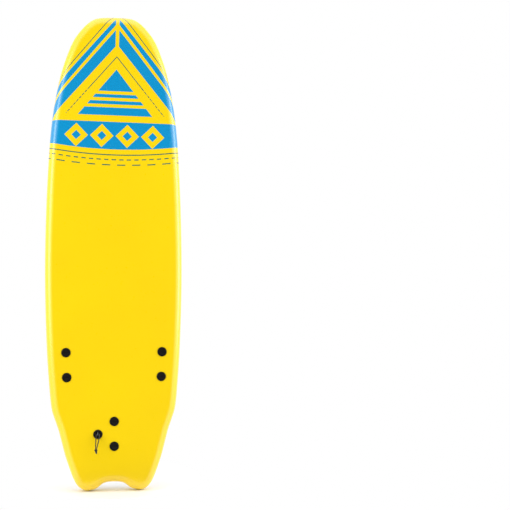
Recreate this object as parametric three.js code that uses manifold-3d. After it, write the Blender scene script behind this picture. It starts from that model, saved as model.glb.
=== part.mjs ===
// A six-foot soft-top surfboard with a fish tail, stood on its tail: millimetres, +Z from tail to nose,
// the deck faces -Y, the slick bottom and its three fins face +Y, and X runs across the board.
// The origin is at the middle of the board's footprint, level with the two tail tips.
import * as THREE from 'three';
import { mergeVertices } from 'three/addons/utils/BufferGeometryUtils.js';
import Module from 'manifold-3d';

const wasm = await Module();
wasm.setup();

// ---------------------------------------------------------------- driving dimensions, millimetres
const LENGTH = 1829;
const THICKNESS = 63.5;
const BOTTOM_Y = 12.44;           // where the flat stretch of the bottom lies

const ROCKER = 68;                // how far the nose tip is lifted towards the deck
const ROCKER_START = 580;
const TAIL_TAPER = 150;           // the last stretch that thins towards the tail
const TAIL_THINNING = 0.12;
const NOSE_TAPER = 180;
const NOSE_THINNING = 0.2;

const GAP = 0.3;                  // between pieces that touch
const SKIN = 5.5;                 // deck foam sheet
const SLICK = 2.3;                // hard bottom sheet

const RAIL_APEX = 26;             // height of the widest point of the rail
const RAIL_TUCK = 18;             // lower rail ellipse, across
const RAIL_DROP = 30;             // lower rail ellipse, down
const OUTER_RAIL = [[60, 25, 0], [30, 60, 90]];  // degrees round the lower and the upper ellipse
const INNER_RAIL = [[60, 0], [45, 90]];
const RAIL_ROLL = 34;             // upper rail ellipse, across
const LIP_INSET = 13.7;           // inner edge of the deck sheet's lip on the bottom
const SLICK_INSET = LIP_INSET + GAP;

const STRINGER_X = 105;
const STRINGER_WIDTH = 4;

const SIDE_FIN = { x: 184.5, z: 494, root: 137, turn: 1.8 };
const CENTRE_FIN = { x: 0, z: 226, root: 167, turn: 0 };
const FLANGE = 5;                 // thickness of a fin's base flange
const SIDE_FLANGE_WIDTH = 25;
const CENTRE_FLANGE_WIDTH = 31;
const BLADE_ROOT = 8.6;           // blade thickness at its root
const BLADE_TIP = 3.4;

const BOLT_SPAN = 96;             // between the two bolts of a fin
const HEAD_RADIUS = 17.5;
const HEAD_HEIGHT = 2.8;
const SHANK_RADIUS = 4.8;
const SHANK_END = 8;              // height of the shank's end above the bottom
const RECESS_DEPTH = 2.2;         // the deck foam is pressed in under each head
const RECESS_RADIUS = 18.2;
const WASHER = 0.8;
const WASHER_BORE = 6.4;
const POST_RADIUS = 7;
const POST_BORE = 5.3;
const POST_LENGTH = 26;
const SLEEVE_BORE = 7.4;
const SLEEVE_RADIUS = 9.5;
const COIN_SLOT = { length: 25, width: 3.2, depth: 1.5 };

const PLUG = { x: -63, z: 225 };
const PLUG_TUBE = 12;             // outer radius of the cup and its tube
const PLUG_HEAD = 3.7;
const PLUG_BASE_RADIUS = 16.8;
const PLUG_BASE_HEIGHT = 2;
const CUP_BORE = 9.5;
const CUP_FLOOR = 45;
const CUP_FLOOR_THICKNESS = 3;
const SPIGOT_RADIUS = 4.5;
const SPIGOT_TOP = 36;
const BAR = { radius: 2.25, height: 56.5, length: 23 };

const CORD = 4;                   // diameter of the leash string
// one leg of the string as [from the middle, drift to the left, down the board, height above the bottom]
const CORD_LEG = [
  [5.2, 0, 0, 53],
  [5.3, 0, 0, 58.5],
  [5.6, -0.1, -0.4, 63.8],
  [5.9, -0.4, -2.3, 68.4],
  [6.0, -0.9, -6.2, 71.6],
  [5.9, -1.6, -12.2, 73.9],
  [5.6, -2.5, -18.8, 75.9],
  [5.1, -3.5, -25.4, 78.1],
  [4.4, -4.6, -31.9, 80.6],
  [3.5, -5.7, -38.2, 83.4],
  [2.7, -6.7, -44.2, 86.4],
  [2.35, -7.6, -49.8, 89.4],
];
const KNOT = { drift: -8.7, down: -57, height: 93.3, radius: 6.6 };
const KNOT_TAIL = 13;

const LABEL = { x: -212, z: 687, width: 31, length: 118, thickness: 0.5, tilt: 3 };

// half of the outline as [x, z]: from the nose round the side to the tail tip, then up the notch
const SIDE = [
  [0, 1829], [30, 1828.4], [59, 1826], [81, 1819.5], [104, 1804], [125, 1783], [155, 1743], [188, 1666],
  [211, 1589], [239, 1434], [257, 1203], [266.7, 870], [261, 586], [252, 432], [240.5, 318], [227.5, 276],
  [214.5, 238], [204.5, 200], [184, 123], [157, 48], [142, 22], [126, 7.5], [104, 0],
];
const NOTCH = [[84, 3], [66, 9], [54, 18], [42, 27], [25, 32.5], [0, 34]];
const TIP = SIDE.length - 1;
const SAMPLES = 2;                // ring points for each outline point

// a fin's blade as [depth, leading edge, trailing edge], all as fractions of its root
const FIN_STATIONS = [
  [0.01, 0, 1.0], [0.03, 0.03, 0.955], [0.09, 0.09, 0.925], [0.17, 0.17, 0.955], [0.27, 0.287, 1.035],
  [0.37, 0.44, 1.09], [0.45, 0.575, 1.115], [0.51, 0.71, 1.095], [0.55, 0.84, 1.04], [0.565, 0.92, 0.975],
];
const FIN_ROWS = 10;

// ---------------------------------------------------------------- the board's surface
function rocker(z) {
  const along = Math.max(0, (z - ROCKER_START) / (LENGTH - ROCKER_START));
  return ROCKER * along ** 2;
}

function foil(z) {
  const tail = Math.max(0, (TAIL_TAPER - z) / TAIL_TAPER);
  const nose = Math.max(0, (z - LENGTH + NOSE_TAPER) / NOSE_TAPER);
  return 1 - TAIL_THINNING * tail ** 2 - NOSE_THINNING * nose ** 2;
}

function surfaceY(z, height) {
  return BOTTOM_Y - rocker(z) - height * foil(z);
}

// the rail's section as [inset, height], sunk by depth below the outer face, from the bottom up;
// lower and upper are where it is sampled, in degrees round its two quarter ellipses
function railSection(depth, lower, upper) {
  const section = [];
  for (const degrees of lower) {
    const a = THREE.MathUtils.degToRad(degrees);
    const across = RAIL_DROP * Math.cos(a);
    const up = RAIL_TUCK * Math.sin(a);
    const length = Math.hypot(across, up);
    section.push([
      RAIL_TUCK * (1 - Math.cos(a)) + depth * across / length,
      RAIL_APEX - RAIL_DROP * Math.sin(a) + depth * up / length,
    ]);
  }
  const rise = THICKNESS - RAIL_APEX;
  for (const degrees of upper) {
    const a = THREE.MathUtils.degToRad(degrees);
    const across = rise * Math.cos(a);
    const down = RAIL_ROLL * Math.sin(a);
    const length = Math.hypot(across, down);
    section.push([
      RAIL_ROLL * (1 - Math.cos(a)) + depth * across / length,
      RAIL_APEX + rise * Math.sin(a) - depth * down / length,
    ]);
  }
  return section;
}

const half = [...SIDE, ...NOTCH];
const mirrored = half.slice(1, -1).reverse().map(([x, z]) => [-x, z]);
const outline = new THREE.CatmullRomCurve3([...half, ...mirrored].map(([x, z]) => new THREE.Vector3(x, 0, z)), true);
const RING = (half.length - 1) * 2 * SAMPLES;
const TIP_INDEX = TIP * SAMPLES;
const NOTCH_INDEX = RING / 2;

// one ring of the board's skin: the outline moved inwards by inset, at one height
function ring(inset, height) {
  const points = [];
  for (let i = 0; i < RING; i += 1) {
    const at = outline.getPoint(i / RING);
    const along = outline.getTangent(i / RING);
    const x = at.x + along.z * inset;
    const z = at.z - along.x * inset;
    points.push(new THREE.Vector3(x, surfaceY(z, height), z));
  }
  return points;
}

// joins two chains of vertex numbers that share their first and last vertex, short diagonals first
function zip(a, b, points, add) {
  let i = 0;
  let j = 0;
  while (i < a.length - 1 || j < b.length - 1) {
    const acrossA = i < a.length - 1 ? points[a[i + 1]].distanceTo(points[b[j]]) : Infinity;
    const acrossB = j < b.length - 1 ? points[b[j + 1]].distanceTo(points[a[i]]) : Infinity;
    if (acrossA <= acrossB) {
      if (a[i] !== b[j] && a[i + 1] !== b[j]) add(a[i], a[i + 1], b[j]);
      i += 1;
    } else {
      if (a[i] !== b[j] && b[j + 1] !== a[i]) add(a[i], b[j + 1], b[j]);
      j += 1;
    }
  }
}

// closes a ring across the board: rows run from the middle line to each side, and round the two tail tips
function cap(points, start, height, flip, add) {
  const peak = points[start + NOTCH_INDEX].z;
  const spine = [];
  for (let i = 1; points[start + i].z > peak + 12 && i < TIP_INDEX; i += 1) {
    const z = points[start + i].z;
    spine.push(points.length);
    points.push(new THREE.Vector3(0, surfaceY(z, height), z));
  }
  for (const side of [1, -1]) {
    const at = (i) => start + (side > 0 ? i : (RING - i) % RING);
    const rim = [];
    for (let i = 0; i <= TIP_INDEX; i += 1) rim.push(at(i));
    const middle = [at(0), ...spine];
    for (let i = NOTCH_INDEX; i >= TIP_INDEX; i -= 1) middle.push(at(i));
    const turn = (side > 0) !== flip;
    zip(rim, middle, points, (a, b, c) => (turn ? add(a, b, c) : add(a, c, b)));
  }
}

// a closed solid from rings given as [inset, height], with both end rings closed across the board
function slab(rings) {
  const points = rings.flatMap(([inset, height]) => ring(inset, height));
  const index = [];
  const add = (a, b, c) => index.push(a, b, c);
  for (let r = 0; r < rings.length - 1; r += 1) {
    for (let i = 0; i < RING; i += 1) {
      const a = r * RING + i;
      const b = r * RING + (i + 1) % RING;
      add(a, b, b + RING);
      add(a, b + RING, a + RING);
    }
  }
  cap(points, 0, rings[0][1], true, add);
  cap(points, (rings.length - 1) * RING, rings.at(-1)[1], false, add);
  return fromPoints(points, index);
}

// ---------------------------------------------------------------- geometry helpers
function fromPoints(points, index) {
  const geometry = new THREE.BufferGeometry().setFromPoints(points);
  geometry.setIndex(index);
  return faceOut(geometry);
}

// turns every face over when they all point inwards
function faceOut(geometry) {
  const at = geometry.attributes.position;
  const index = geometry.index.array;
  const corners = [new THREE.Vector3(), new THREE.Vector3(), new THREE.Vector3()];
  let volume = 0;
  for (let i = 0; i < index.length; i += 3) {
    corners.forEach((corner, k) => corner.fromBufferAttribute(at, index[i + k]));
    volume += corners[0].dot(corners[1].cross(corners[2]));
  }
  if (volume < 0) {
    for (let i = 0; i < index.length; i += 3) [index[i], index[i + 1]] = [index[i + 1], index[i]];
  }
  return geometry;
}

function solid(geometry) {
  const bare = geometry.clone();
  bare.deleteAttribute('normal');
  bare.deleteAttribute('uv');
  const merged = faceOut(mergeVertices(bare, 1e-3));
  const mesh = new wasm.Mesh({
    numProp: 3,
    vertProperties: merged.attributes.position.array,
    triVerts: new Uint32Array(merged.index.array),
  });
  return new wasm.Manifold(mesh);
}

function geometryOf(body) {
  const mesh = body.getMesh();
  const geometry = new THREE.BufferGeometry();
  geometry.setAttribute('position', new THREE.BufferAttribute(new Float32Array(mesh.vertProperties), 3));
  geometry.setIndex(new THREE.BufferAttribute(new Uint32Array(mesh.triVerts), 1));
  return geometry;
}

// a round solid on the axis at (x, z), from a profile of [radius, height above the bottom]
function turned(profile, { x, z }, sides = 16) {
  const points = profile.map(([radius, height]) => new THREE.Vector2(radius, BOTTOM_Y - height));
  const geometry = new THREE.LatheGeometry(points, sides);
  geometry.translate(x, 0, z);
  return solid(geometry);
}

function rod(radius, low, high, place, sides = 16) {
  return turned([[0, low], [radius, low], [radius, high], [0, high]], place, sides);
}

function tube(bore, radius, low, high, place, sides = 16) {
  return turned([[bore, low], [radius, low], [radius, high], [bore, high], [bore, low]], place, sides);
}

function block(width, depth, height, x, y, z) {
  const geometry = new THREE.BoxGeometry(width, depth, height);
  geometry.translate(x, y, z);
  return solid(geometry);
}

// ---------------------------------------------------------------- where the hardware goes
const FINS = [
  { name: 'fin_left', ...SIDE_FIN, x: -SIDE_FIN.x, turn: -SIDE_FIN.turn, width: SIDE_FLANGE_WIDTH },
  { name: 'fin_right', ...SIDE_FIN, width: SIDE_FLANGE_WIDTH },
  { name: 'fin_centre', ...CENTRE_FIN, width: CENTRE_FLANGE_WIDTH },
];

function boltPlaces(fin) {
  const turn = THREE.MathUtils.degToRad(fin.turn);
  const where = (name, along) => ({ name, x: fin.x + along * Math.sin(turn), z: fin.z + along * Math.cos(turn) });
  return [where('front', BOLT_SPAN / 2), where('rear', -BOLT_SPAN / 2)];
}

const BOLTS = FINS.flatMap((fin) => boltPlaces(fin).map((place) => ({
  ...place,
  name: `${fin.name.replace('fin_', '')}_${place.name}`,
})));

const HEAD_SEAT = THICKNESS - RECESS_DEPTH;
const HEAD_BOTTOM = HEAD_SEAT + GAP + WASHER + GAP;

// ---------------------------------------------------------------- skins, core and stringers
function holes(radius) {
  return BOLTS.map((place) => rod(radius, -20, THICKNESS + 20, place));
}

function plugHole(radius) {
  return rod(radius, -20, THICKNESS + 20, PLUG);
}

function cut(body, tools) {
  return tools.reduce((left, tool) => left.subtract(tool), body);
}

function deckSkin() {
  const inner = railSection(SKIN, ...INNER_RAIL).reverse();
  const body = solid(slab([...inner, [LIP_INSET, 0], ...railSection(0, ...OUTER_RAIL)]));
  const recesses = [...BOLTS, PLUG].map((place) => rod(RECESS_RADIUS, HEAD_SEAT, THICKNESS + 20, place, 20));
  return cut(body, [...holes(SLEEVE_RADIUS + GAP), plugHole(PLUG_TUBE + GAP), ...recesses]);
}

function bottomSkin() {
  const body = solid(slab([[SLICK_INSET, 0], [SLICK_INSET, SLICK]]));
  return cut(body, [...holes(SLEEVE_RADIUS + GAP), plugHole(SPIGOT_RADIUS + GAP)]);
}

function coreBlank() {
  const body = solid(slab([[SLICK_INSET, SLICK + GAP], ...railSection(SKIN + GAP, ...INNER_RAIL)]));
  return cut(body, [...holes(SLEEVE_RADIUS + GAP), plugHole(PLUG_TUBE + GAP)]);
}

function lengthwise(body, from, to) {
  const reach = 2 * LENGTH;
  return body.intersect(block(to - from, reach, 2 * reach, (from + to) / 2, 0, 0));
}

function coreAndStringers() {
  const blank = coreBlank();
  const inner = STRINGER_X - STRINGER_WIDTH / 2;
  const outer = STRINGER_X + STRINGER_WIDTH / 2;
  const side = 2 * outer + LENGTH;
  return {
    foam_core_left: lengthwise(blank, -side, -outer - GAP),
    foam_core_centre: lengthwise(blank, GAP - inner, inner - GAP),
    foam_core_right: lengthwise(blank, outer + GAP, side),
    stringer_left: lengthwise(blank, -outer, -inner),
    stringer_right: lengthwise(blank, inner, outer),
  };
}

// ---------------------------------------------------------------- fins and their bolts
// a blade section at one depth: a lens, rounded in front and thin behind
function bladeSection(depth, front, back, thickness, root) {
  const chord = (back - front) * root;
  const stations = [[0, 0], [0.1, 0.6], [0.35, 1], [0.7, 0.68], [1, 0.12]];
  const right = stations.map(([s, t]) => [t * thickness / 2, front * root + s * chord]);
  const left = stations.slice(1).reverse().map(([s, t]) => [-t * thickness / 2, front * root + s * chord]);
  return [...right, ...left].map(([x, s]) => new THREE.Vector3(x, depth * root, -s));
}

function blade(root) {
  const stations = FIN_STATIONS.map(([depth, front, back]) => new THREE.Vector3(depth, front, back));
  const curve = new THREE.CatmullRomCurve3(stations);
  const points = [];
  for (let r = 0; r <= FIN_ROWS; r += 1) {
    const at = curve.getPoint(r / FIN_ROWS);
    const thickness = THREE.MathUtils.lerp(BLADE_ROOT, BLADE_TIP, at.x / FIN_STATIONS.at(-1)[0]);
    points.push(...bladeSection(at.x, at.y, at.z, thickness, root));
  }
  const sides = points.length / (FIN_ROWS + 1);
  const index = [];
  for (let r = 0; r < FIN_ROWS; r += 1) {
    for (let i = 0; i < sides; i += 1) {
      const a = r * sides + i;
      const b = r * sides + (i + 1) % sides;
      index.push(a, b, b + sides, a, b + sides, a + sides);
    }
  }
  for (let i = 1; i < sides - 1; i += 1) {
    const last = FIN_ROWS * sides;
    index.push(0, i + 1, i, last, last + i, last + i + 1);
  }
  return fromPoints(points, index);
}

function flange(root, width) {
  const straight = (root - width) / 2;
  const radius = width / 2;
  const bevel = 1.4;
  const shape = new THREE.Shape();
  shape.absarc(0, straight, radius - bevel, 0, Math.PI);
  shape.absarc(0, -straight, radius - bevel, Math.PI, 2 * Math.PI);
  const geometry = new THREE.ExtrudeGeometry(shape, {
    depth: FLANGE - 2 * bevel,
    bevelThickness: bevel,
    bevelSize: bevel,
    bevelSegments: 1,
    curveSegments: 6,
  });
  geometry.translate(0, 0, -(FLANGE - bevel));
  geometry.rotateX(Math.PI / 2);
  return geometry;
}

function fin({ x, z, root, turn, width }) {
  const bladeGeometry = blade(root);
  bladeGeometry.translate(0, 0, root / 2);
  const moulding = solid(bladeGeometry).add(solid(flange(root, width)));
  const posts = [BOLT_SPAN / 2, -BOLT_SPAN / 2].map((along) => ({ x: 0, z: along }));
  const raised = -BOTTOM_Y;
  let body = moulding;
  for (const place of posts) body = body.add(rod(POST_RADIUS, -1, POST_LENGTH, place).translate([0, raised, 0]));
  for (const place of posts) body = body.subtract(rod(POST_BORE, 1, POST_LENGTH + 1, place).translate([0, raised, 0]));
  return body.rotate([0, turn, 0]).translate([x, BOTTOM_Y + GAP, z]);
}

function bolt(place) {
  const top = HEAD_BOTTOM + HEAD_HEIGHT;
  const body = turned([
    [0, SHANK_END], [SHANK_RADIUS, SHANK_END], [SHANK_RADIUS, HEAD_BOTTOM], [HEAD_RADIUS, HEAD_BOTTOM],
    [HEAD_RADIUS, top - 1.4], [HEAD_RADIUS - 1.6, top], [0, top],
  ], place);
  const { length, width, depth } = COIN_SLOT;
  return body.subtract(block(length, 2 * depth, width, place.x, BOTTOM_Y - top, place.z));
}

function washer(place) {
  const low = HEAD_SEAT + GAP;
  return tube(WASHER_BORE, HEAD_RADIUS - 0.5, low, low + WASHER, place);
}

function sleeve(place) {
  return tube(SLEEVE_BORE, SLEEVE_RADIUS, GAP, HEAD_SEAT, place);
}

// ---------------------------------------------------------------- leash plug, string and label
function plugCup() {
  const top = HEAD_SEAT + GAP + PLUG_HEAD;
  const low = SLICK + GAP;
  const body = turned([
    [0, CUP_FLOOR], [CUP_BORE, CUP_FLOOR], [CUP_BORE, top - 0.8], [CUP_BORE + 0.8, top], [HEAD_RADIUS - 1.4, top],
    [HEAD_RADIUS, top - 1.4], [HEAD_RADIUS, HEAD_SEAT + GAP], [PLUG_TUBE, HEAD_SEAT + GAP], [PLUG_TUBE, low],
    [SPIGOT_RADIUS + GAP, low], [SPIGOT_RADIUS + GAP, CUP_FLOOR - CUP_FLOOR_THICKNESS],
    [0, CUP_FLOOR - CUP_FLOOR_THICKNESS],
  ], PLUG);
  return body.subtract(solid(barShape(BAR.radius + GAP, 2 * PLUG_TUBE + 2)));
}

function barShape(radius, length) {
  const geometry = new THREE.CylinderGeometry(radius, radius, length, 12);
  geometry.rotateX(Math.PI / 2);
  geometry.translate(PLUG.x, BOTTOM_Y - BAR.height, PLUG.z);
  return geometry;
}

function plugBase() {
  const face = -GAP - PLUG_BASE_HEIGHT;
  return turned([
    [0, face], [PLUG_BASE_RADIUS - 1.2, face], [PLUG_BASE_RADIUS, face + 1.2], [PLUG_BASE_RADIUS, -GAP],
    [SPIGOT_RADIUS, -GAP], [SPIGOT_RADIUS, SPIGOT_TOP], [0, SPIGOT_TOP],
  ], PLUG);
}

function cordPoint(fromMiddle, drift, down, height) {
  return new THREE.Vector3(PLUG.x + fromMiddle + drift, BOTTOM_Y - height, PLUG.z + down);
}

function cordLeg(side) {
  const route = CORD_LEG.map(([out, drift, down, height]) => cordPoint(side * out, drift, down, height));
  const circle = new THREE.Shape();
  circle.absarc(0, 0, CORD / 2, 0, 2 * Math.PI);
  return new THREE.ExtrudeGeometry(circle, {
    extrudePath: new THREE.CatmullRomCurve3(route),
    steps: 9,
    curveSegments: 4,
  });
}

function knot() {
  const centre = cordPoint(0, KNOT.drift, KNOT.down, KNOT.height);
  const lump = new THREE.SphereGeometry(KNOT.radius, 12, 8);
  lump.scale(1, 0.86, 1);
  lump.translate(...centre);
  let body = solid(lump);
  for (const side of [1, -1]) {
    const tail = new THREE.CylinderGeometry(CORD / 2, CORD / 2, KNOT_TAIL, 8);
    tail.translate(0, -KNOT_TAIL / 2, 0);
    tail.rotateX(THREE.MathUtils.degToRad(58 - 8 * side));
    tail.rotateY(THREE.MathUtils.degToRad(10 * side - 8));
    tail.translate(centre.x + 2.6 * side, centre.y, centre.z);
    body = body.add(solid(tail));
  }
  return body;
}

// a thin sticker that follows the bottom's gentle curve
function label() {
  const rows = 4;
  const { x, z, width, length, thickness, tilt } = LABEL;
  const lean = Math.tan(THREE.MathUtils.degToRad(tilt));
  const points = [];
  for (let r = 0; r <= rows; r += 1) {
    const along = (r / rows - 0.5) * length;
    const face = surfaceY(z + along, 0) + GAP;
    for (const [side, out] of [[-1, 0], [1, 0], [1, thickness], [-1, thickness]]) {
      points.push(new THREE.Vector3(x + along * lean + side * width / 2, face + out, z + along));
    }
  }
  const index = [];
  for (let r = 0; r < rows; r += 1) {
    for (let i = 0; i < 4; i += 1) {
      const a = 4 * r + i;
      const b = 4 * r + (i + 1) % 4;
      index.push(a, b, b + 4, a, b + 4, a + 4);
    }
  }
  const last = 4 * rows;
  index.push(0, 2, 1, 0, 3, 2, last, last + 1, last + 2, last, last + 2, last + 3);
  return fromPoints(points, index);
}

// ---------------------------------------------------------------- the assembly
const MATERIALS = {
  deck: new THREE.MeshStandardMaterial({ color: 0xffde03, roughness: 0.5, metalness: 0 }),
  slick: new THREE.MeshStandardMaterial({ color: 0xeeedee, roughness: 0.35, metalness: 0 }),
  foam: new THREE.MeshStandardMaterial({ color: 0xf7f7f4, roughness: 0.9, metalness: 0 }),
  ply: new THREE.MeshStandardMaterial({ color: 0xc9a06a, roughness: 0.7, metalness: 0 }),
  fin: new THREE.MeshStandardMaterial({ color: 0x191c1c, roughness: 0.35, metalness: 0 }),
  nylon: new THREE.MeshStandardMaterial({ color: 0x18140f, roughness: 0.45, metalness: 0 }),
  rubber: new THREE.MeshStandardMaterial({ color: 0x222222, roughness: 0.9, metalness: 0 }),
  steel: new THREE.MeshStandardMaterial({ color: 0xb9bcc0, roughness: 0.3, metalness: 1 }),
  cord: new THREE.MeshStandardMaterial({ color: 0x1b1610, roughness: 0.85, metalness: 0 }),
  sticker: new THREE.MeshStandardMaterial({ color: 0x3a3a3c, roughness: 0.5, metalness: 0 }),
};

const surfboard = new THREE.Group();

function addPiece(name, geometry, material) {
  const shape = geometry.isBufferGeometry ? geometry : geometryOf(geometry);
  const piece = new THREE.Mesh(shape, MATERIALS[material]);
  piece.name = name;
  surfboard.add(piece);
}

addPiece('deck_skin', deckSkin(), 'deck');
addPiece('bottom_skin', bottomSkin(), 'slick');
for (const [name, body] of Object.entries(coreAndStringers())) {
  addPiece(name, body, name.startsWith('foam') ? 'foam' : 'ply');
}
for (const each of FINS) addPiece(each.name, fin(each), 'fin');
for (const place of BOLTS) {
  addPiece(`bolt_sleeve_${place.name}`, sleeve(place), 'nylon');
  addPiece(`bolt_washer_${place.name}`, washer(place), 'rubber');
  addPiece(`fin_bolt_${place.name}`, bolt(place), 'nylon');
}
addPiece('leash_plug_cup', plugCup(), 'nylon');
addPiece('leash_plug_bar', barShape(BAR.radius, BAR.length), 'steel');
addPiece('leash_plug_base', plugBase(), 'nylon');
addPiece('leash_string_left', cordLeg(-1), 'cord');
addPiece('leash_string_right', cordLeg(1), 'cord');
addPiece('leash_string_knot', knot(), 'cord');
addPiece('bottom_label', label(), 'sticker');

export default surfboard;
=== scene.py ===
"""A six-foot soft-top surfboard with a fish tail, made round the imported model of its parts.

The board stands on its tail: Z runs from tail to nose, the deck faces -Y, the slick bottom and its fins
face +Y. Shapes are worked out in millimetres and become metres when a mesh is made.
"""

import bmesh
import bpy
import math
import numpy as np
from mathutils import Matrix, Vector, kdtree
from mathutils.geometry import tessellate_polygon


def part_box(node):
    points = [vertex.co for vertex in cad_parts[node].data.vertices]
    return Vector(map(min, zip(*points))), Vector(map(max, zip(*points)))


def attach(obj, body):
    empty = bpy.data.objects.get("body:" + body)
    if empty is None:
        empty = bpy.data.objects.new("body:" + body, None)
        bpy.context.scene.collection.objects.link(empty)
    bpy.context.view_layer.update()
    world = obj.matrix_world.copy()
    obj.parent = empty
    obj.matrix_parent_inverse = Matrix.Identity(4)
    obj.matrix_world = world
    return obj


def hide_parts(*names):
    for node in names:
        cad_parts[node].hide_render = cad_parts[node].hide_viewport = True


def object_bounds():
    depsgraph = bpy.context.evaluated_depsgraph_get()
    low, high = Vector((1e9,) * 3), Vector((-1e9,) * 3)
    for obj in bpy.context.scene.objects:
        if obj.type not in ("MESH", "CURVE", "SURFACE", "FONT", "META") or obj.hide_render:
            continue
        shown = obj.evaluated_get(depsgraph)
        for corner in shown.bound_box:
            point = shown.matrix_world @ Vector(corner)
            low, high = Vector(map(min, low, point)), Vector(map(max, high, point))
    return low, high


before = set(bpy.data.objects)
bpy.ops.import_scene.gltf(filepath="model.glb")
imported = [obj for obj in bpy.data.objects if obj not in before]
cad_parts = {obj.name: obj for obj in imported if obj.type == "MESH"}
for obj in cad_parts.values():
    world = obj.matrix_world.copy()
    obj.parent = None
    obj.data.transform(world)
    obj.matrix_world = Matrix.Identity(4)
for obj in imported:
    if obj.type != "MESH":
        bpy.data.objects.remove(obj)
cad_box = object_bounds()

MM = 0.001
GAP = 0.3

# ---------------------------------------------------------------- the board's dimensions, millimetres
LENGTH = cad_box[1].z / MM
THICKNESS = 63.5
BOTTOM_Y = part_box("bottom_skin")[1].y / MM
ROCKER = 68
ROCKER_START = 580
TAIL_TAPER = 150
TAIL_THINNING = 0.12
NOSE_TAPER = 180
NOSE_THINNING = 0.2
SKIN = 5.5
SLICK = 2.3
RAIL_APEX = 26                    # height of the widest point of the rail
RAIL_TUCK = 18                    # lower rail ellipse, across
RAIL_DROP = 30                    # lower rail ellipse, down
RAIL_ROLL = 34                    # upper rail ellipse, across
LIP_INSET = 13.7                  # inner edge of the deck sheet's lip on the bottom
EDGE = 0.6                        # rounding of the two sheets where they meet

# half of the outline as (x, z): from the nose round the side to the tail tip, then up the notch
SIDE = [
    (0, 1829), (30, 1828.4), (59, 1826), (81, 1819.5), (104, 1804), (125, 1783), (155, 1743), (188, 1666),
    (211, 1589), (239, 1434), (257, 1203), (266.7, 870), (261, 586), (252, 432), (240.5, 318), (227.5, 276),
    (214.5, 238), (204.5, 200), (184, 123), (157, 48), (142, 22), (126, 7.5), (104, 0),
]
NOTCH = [(84, 3), (66, 9), (54, 18), (42, 27), (25, 32.5), (0, 34)]
OUTLINE_STEP = 7
NOTCH_MARGIN = 12                 # how far over the notch's peak the middle line ends
CUT_REACH = 20                    # how far a cutting tool reaches past the board

# ---------------------------------------------------------------- fins, bolts and leash plug, millimetres
SIDE_ROOT = 137
CENTRE_ROOT = 167
FLANGE = 5
SIDE_FLANGE_WIDTH = 25
CENTRE_FLANGE_WIDTH = 31
FLANGE_BEVEL = 1.4
BLADE_ROOT = 8.6
BLADE_TIP = 3.4
BLADE_FILLET = 3.5
FIN_STATIONS = [
    (0.01, 0, 1.0), (0.03, 0.03, 0.955), (0.09, 0.09, 0.925), (0.17, 0.17, 0.955), (0.27, 0.287, 1.035),
    (0.37, 0.44, 1.09), (0.45, 0.575, 1.115), (0.51, 0.71, 1.095), (0.55, 0.84, 1.04), (0.565, 0.92, 0.975),
]
POST_RADIUS = 7
POST_BORE = 5.3
POST_LENGTH = 26

RECESS_DEPTH = 2.2
RECESS_RADIUS = 18.2
RECESS_CHAMFER = 0.8
HEAD_SEAT = THICKNESS - RECESS_DEPTH
HEAD_RADIUS = 17.5
HEAD_HEIGHT = 2.8
WASHER = 0.8
WASHER_BORE = 6.4
HEAD_BOTTOM = HEAD_SEAT + GAP + WASHER + GAP
HEAD_TOP = HEAD_BOTTOM + HEAD_HEIGHT
SHANK_RADIUS = 4.8
SHANK_END = 8
THREAD_TOP = 34
THREAD_PITCH = 2.5
THREAD_DEPTH = 0.55
SLEEVE_RADIUS = 9.5
COIN_SLOT = {"length": 25, "width": 3.2, "depth": 1.5}

PLUG_TUBE = 12
PLUG_HEAD = 3.7
PLUG_BASE_RADIUS = 16.8
PLUG_BASE_HEIGHT = 2
CUP_BORE = 9.5
CUP_FLOOR = 45
CUP_FLOOR_THICKNESS = 3
SPIGOT_RADIUS = 4.5
SPIGOT_TOP = 36
BAR_RADIUS = 2.25

CORD = 4                          # diameter of the leash string
# one leg of the string as (from the middle, drift to the left, down the board, height above the bottom)
CORD_LEG = [
    (5.2, 0, 0, 53), (5.3, 0, 0, 58.5), (5.6, -0.1, -0.4, 63.8), (5.9, -0.4, -2.3, 68.4),
    (6.0, -0.9, -6.2, 71.6), (5.9, -1.6, -12.2, 73.9), (5.6, -2.5, -18.8, 75.9), (5.1, -3.5, -25.4, 78.1),
    (4.4, -4.6, -31.9, 80.6), (3.5, -5.7, -38.2, 83.4), (2.7, -6.7, -44.2, 86.4), (2.35, -7.6, -49.8, 89.4),
]
KNOT = {"drift": -8.7, "down": -57, "height": 93.3}
KNOT_TAIL = 13

LABEL = {"width": 31, "length": 118, "thickness": 0.5, "tilt": 3, "corner": 3}

# ---------------------------------------------------------------- camera and light
CAMERA_YAW = 3.2                  # degrees that the camera stands to the left of the deck's normal
CAMERA_DISTANCE = 4.0
CAMERA_HEIGHT = 0.918
CAMERA_SHIFT = 0.18
BOARD_ACROSS = 0.2775             # how far left of the middle the board stands, as a share of the frame
FRAME_PER_METRE = 0.4998          # frame widths to a metre at the board
SENSOR = 36
# strengths of the white surround: as the camera sees it, then as it lights the board
SURROUND_SEEN = 1.0
SIDE_WALLS = 1.59
BACK_WALL = 0.85
CAMERA_END = 0.04
FLOOR_RADIUS = 0.37               # metres
FLOOR_SHIFT = 0.22                # behind the board's middle
FLOOR_LEVEL = -0.6                # in millimetres, under the tail tips
FLOOR_SIDES = 96


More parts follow.
